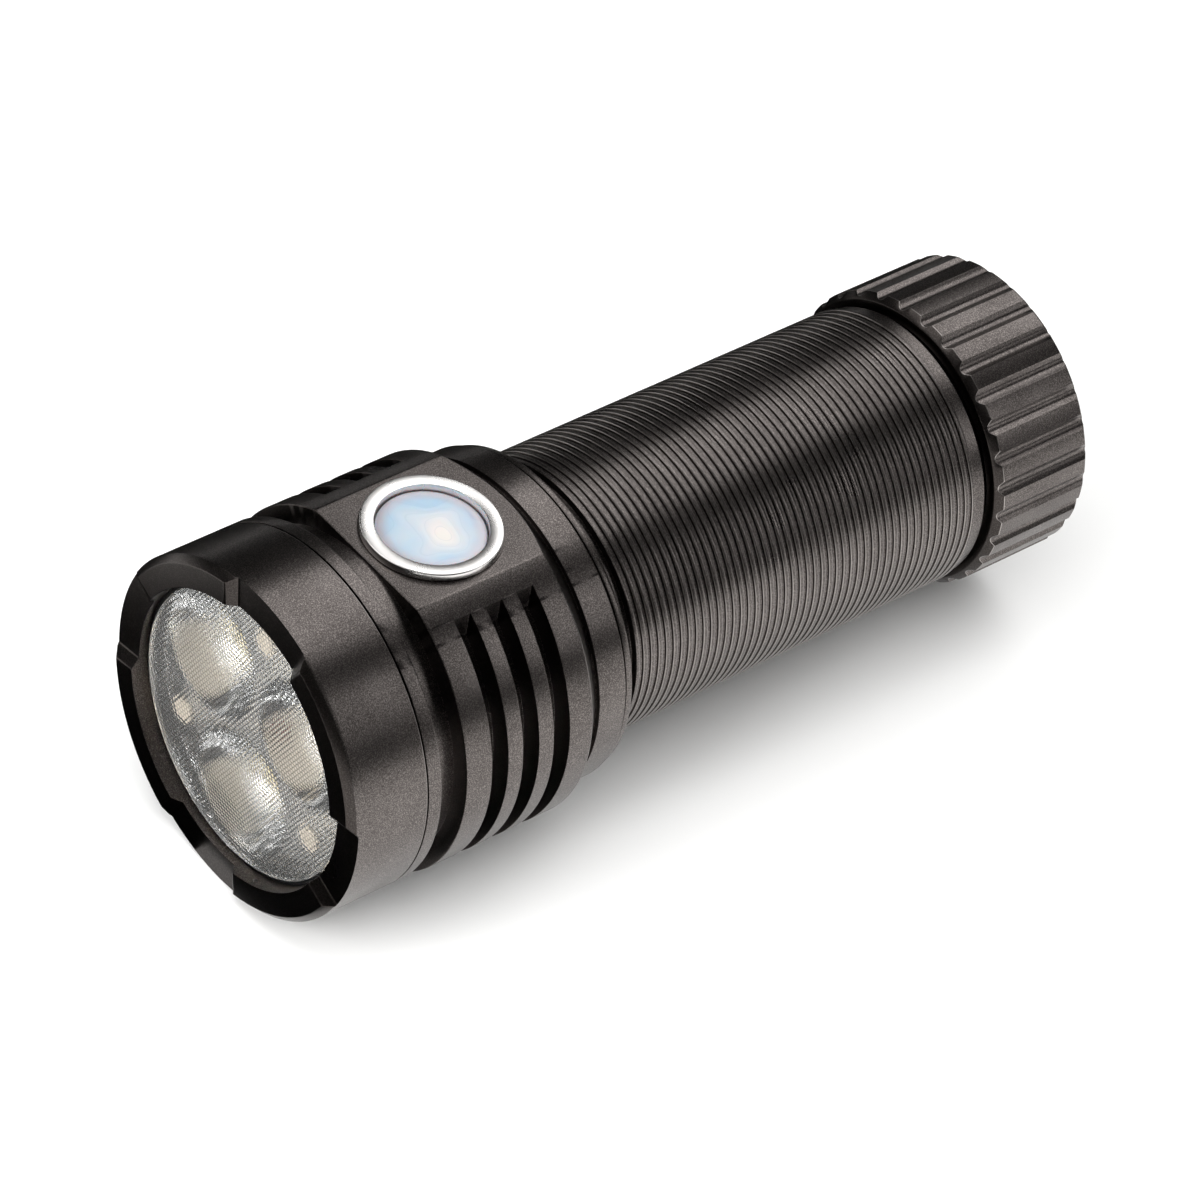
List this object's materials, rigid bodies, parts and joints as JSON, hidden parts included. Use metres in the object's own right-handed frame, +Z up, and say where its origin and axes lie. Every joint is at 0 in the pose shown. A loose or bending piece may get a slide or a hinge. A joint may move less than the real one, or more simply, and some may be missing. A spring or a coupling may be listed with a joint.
{
  "type": "tactical flashlight",
  "caption": "Short, stout tactical flashlight with a toothed bezel, a triple beaded lens, a side switch, cooling slots and a ridged battery tube.",
  "frame": {"origin": "on the ground under the middle of the length, with the flashlight lying on its side and the barrel level", "axes": "-Y the way the lens looks, +Y towards the tail, +Z up through the side switch, +X to the side"},
  "size_m": [0.0406, 0.1044, 0.0405],
  "materials": {
    "anodised_aluminium": "bead-blasted, hard anodised black",
    "clear_acrylic": "polished moulded acrylic with beaded front",
    "black_rubber": "nitrile O-ring",
    "polished_steel": "fine turned stainless steel",
    "milky_silicone": "translucent silicone",
    "white_plastic": "moulded white polycarbonate",
    "white_board": "white solder mask on an aluminium core",
    "green_board": "green solder mask on glass epoxy",
    "phosphor": "silicone dome over yellow phosphor",
    "bare_steel": "zinc plated steel",
    "brass": "turned brass",
    "black_epoxy": "moulded chip package",
    "ferrite": "pressed ferrite",
    "red_wire": "silicone insulation",
    "black_wire": "silicone insulation",
    "cell_sleeve": "shrink sleeve",
    "fibre": "fish paper",
    "spring_steel": "gold plated spring wire"
  },
  "bodies": {
    "barrel": {"bezel_seal": "black_rubber", "optic": "clear_acrylic", "centering_gasket": "white_plastic", "led_board": "white_board", "light_chips": "phosphor", "board_screws": "bare_steel", "light_lead_positive": "red_wire", "light_lead_negative": "black_wire", "head_body": "anodised_aluminium", "driver_board": "green_board", "driver_coil": "ferrite", "driver_chips": "black_epoxy", "driver_contact": "brass", "driver_lock_ring": "brass", "switch_ring": "polished_steel", "switch_diaphragm": "black_rubber", "switch_spacer": "white_plastic", "switch_board": "green_board", "tact_switch": "black_epoxy", "indicator_lights": "white_plastic", "switch_leads": "black_wire", "battery_tube": "anodised_aluminium", "tube_front_seal": "black_rubber", "tube_tail_seal": "black_rubber", "battery_cell": "cell_sleeve", "cell_insulator": "fibre", "cell_contact": "bare_steel"},
    "button": {"switch_button": "milky_silicone", "tact_plunger": "white_plastic"},
    "bezel_slider": {"optic_seal": "black_rubber"},
    "bezel": {"bezel_ring": "anodised_aluminium"},
    "spring": {"tail_spring": "spring_steel"},
    "tail": {"tail_cap": "anodised_aluminium", "tail_board": "green_board", "tail_lock_ring": "brass"}
  },
  "joints": [
    {"name": "switch_press", "type": "slide", "parent": "barrel", "child": "button", "axis": [0, 0, -1], "range_m": [0, 0.0005], "stiffness_N_per_m": 1500, "springref_m": -0.0004},
    {"name": "bezel_back_off", "type": "slide", "parent": "barrel", "child": "bezel_slider", "axis": [0, -1, 0], "range_m": [0, 0.0045]},
    {"name": "bezel_turn", "type": "hinge", "parent": "bezel_slider", "child": "bezel", "pos_m": [0, -0.05216, 0.02035], "axis": [0, -1, 0], "range_deg": [0, 2160]},
    {"name": "tail_back_off", "type": "slide", "parent": "barrel", "child": "spring", "axis": [0, 1, 0], "range_m": [0, 0.00625]},
    {"name": "tail_turn", "type": "hinge", "parent": "spring", "child": "tail", "pos_m": [0, 0.05216, 0.02035], "axis": [0, 1, 0], "range_deg": [0, 1800]}
  ],
  "couplings": [
    {"joint": "bezel_back_off", "follows": "bezel_turn", "m_per_rad": 0.00011937},
    {"joint": "tail_back_off", "follows": "tail_turn", "m_per_rad": 0.00019894}
  ]
}
